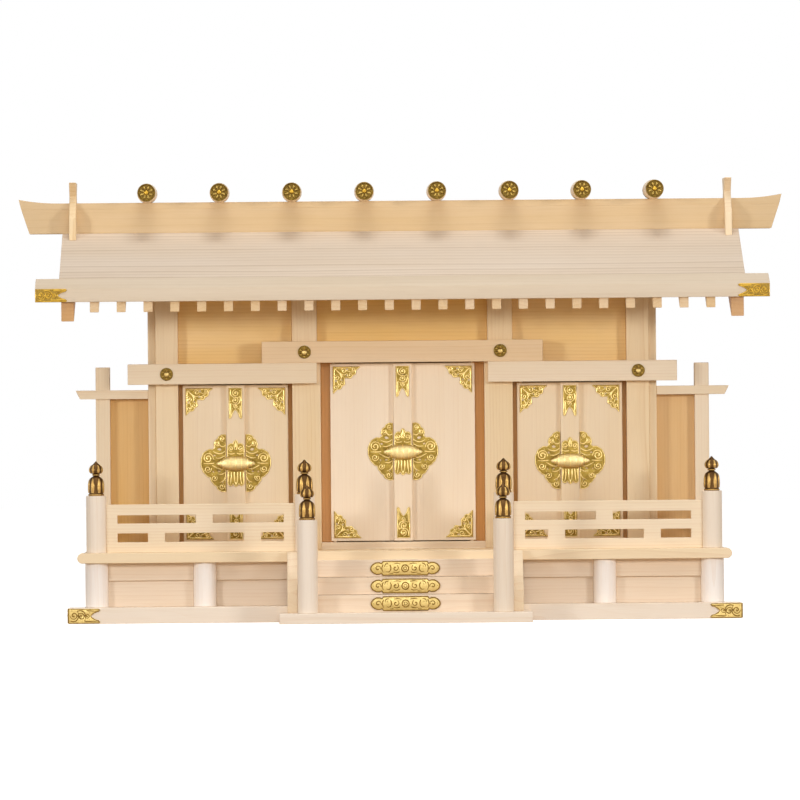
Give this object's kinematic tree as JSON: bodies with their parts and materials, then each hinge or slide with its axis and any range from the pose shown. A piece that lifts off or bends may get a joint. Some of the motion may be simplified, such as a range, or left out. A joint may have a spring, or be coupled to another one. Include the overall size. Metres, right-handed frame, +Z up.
{
  "type": "household shrine",
  "caption": "Pale wooden household shrine: gabled roof with ridge logs and forked finials over brass-fitted double doors that open, on a railed floor with stairs and wing screens.",
  "frame": {"origin": "centre of the overall box, on the surface that the shrine stands on", "axes": "+X along the ridge to the viewer's right, +Y to the back, +Z up; the doors face -Y"},
  "size_m": [0.614, 0.219, 0.3512],
  "materials": {
    "cypress": "planed, unvarnished",
    "brass": "stamped, gilt",
    "bronze": "stamped, darkened"
  },
  "bodies": {
    "shrine": {"base_board": "cypress", "front_platform": "cypress", "floor_posts": "cypress", "floor_beams": "cypress", "skirt_panels": "cypress", "veranda_floor": "cypress", "front_railings": "cypress", "side_railings": "cypress", "newel_posts": "cypress", "stair_steps": "cypress", "stair_cheeks": "cypress", "pillars": "cypress", "side_walls": "cypress", "back_wall": "cypress", "door_sills": "cypress", "hall_floor": "cypress", "door_heads": "cypress", "side_beams": "cypress", "centre_beam": "cypress", "upper_walls": "cypress", "door_jambs": "cypress", "wall_plates": "cypress", "ridge_purlin": "cypress", "rafters": "cypress", "gable_boards": "cypress", "front_roof_slope": "cypress", "rear_roof_slope": "cypress", "eave_boards": "cypress", "ridge_beam": "cypress", "ridge_cap": "cypress", "ridge_logs": "cypress", "forked_finials": "cypress", "wing_posts": "cypress", "wing_panels": "cypress", "wing_caps": "cypress", "base_corner_plates": "brass", "stair_plates": "brass", "nail_covers": "brass", "eave_end_plates": "brass", "newel_finials": "bronze", "log_caps": "bronze"},
    "left_bay_left_door": {"left_bay_left_leaf": "cypress", "left_bay_left_fittings": "brass"},
    "left_bay_right_door": {"left_bay_right_leaf": "cypress", "left_bay_right_fittings": "brass"},
    "centre_bay_left_door": {"centre_bay_left_leaf": "cypress", "centre_bay_left_fittings": "brass"},
    "centre_bay_right_door": {"centre_bay_right_leaf": "cypress", "centre_bay_right_fittings": "brass"},
    "right_bay_left_door": {"right_bay_left_leaf": "cypress", "right_bay_left_fittings": "brass"},
    "right_bay_right_door": {"right_bay_right_leaf": "cypress", "right_bay_right_fittings": "brass"}
  },
  "joints": [
    {"name": "left_bay_left_hinge", "type": "hinge", "parent": "shrine", "child": "left_bay_left_door", "pos_m": [-0.17285, 0.008, 0.062], "axis": [0, 0, -1], "range_deg": [0, 90]},
    {"name": "left_bay_right_hinge", "type": "hinge", "parent": "shrine", "child": "left_bay_right_door", "pos_m": [-0.0947, 0.008, 0.062], "axis": [0, 0, 1], "range_deg": [0, 90]},
    {"name": "centre_bay_left_hinge", "type": "hinge", "parent": "shrine", "child": "centre_bay_left_door", "pos_m": [-0.0548, 0.008, 0.062], "axis": [0, 0, -1], "range_deg": [0, 90]},
    {"name": "centre_bay_right_hinge", "type": "hinge", "parent": "shrine", "child": "centre_bay_right_door", "pos_m": [0.0548, 0.008, 0.062], "axis": [0, 0, 1], "range_deg": [0, 90]},
    {"name": "right_bay_left_hinge", "type": "hinge", "parent": "shrine", "child": "right_bay_left_door", "pos_m": [0.0947, 0.008, 0.062], "axis": [0, 0, -1], "range_deg": [0, 90]},
    {"name": "right_bay_right_hinge", "type": "hinge", "parent": "shrine", "child": "right_bay_right_door", "pos_m": [0.17285, 0.008, 0.062], "axis": [0, 0, 1], "range_deg": [0, 90]}
  ],
  "couplings": [
    {"joint": "left_bay_left_hinge", "follows": "left_bay_right_hinge", "ratio": 1},
    {"joint": "centre_bay_left_hinge", "follows": "centre_bay_right_hinge", "ratio": 1},
    {"joint": "right_bay_left_hinge", "follows": "right_bay_right_hinge", "ratio": 1}
  ]
}
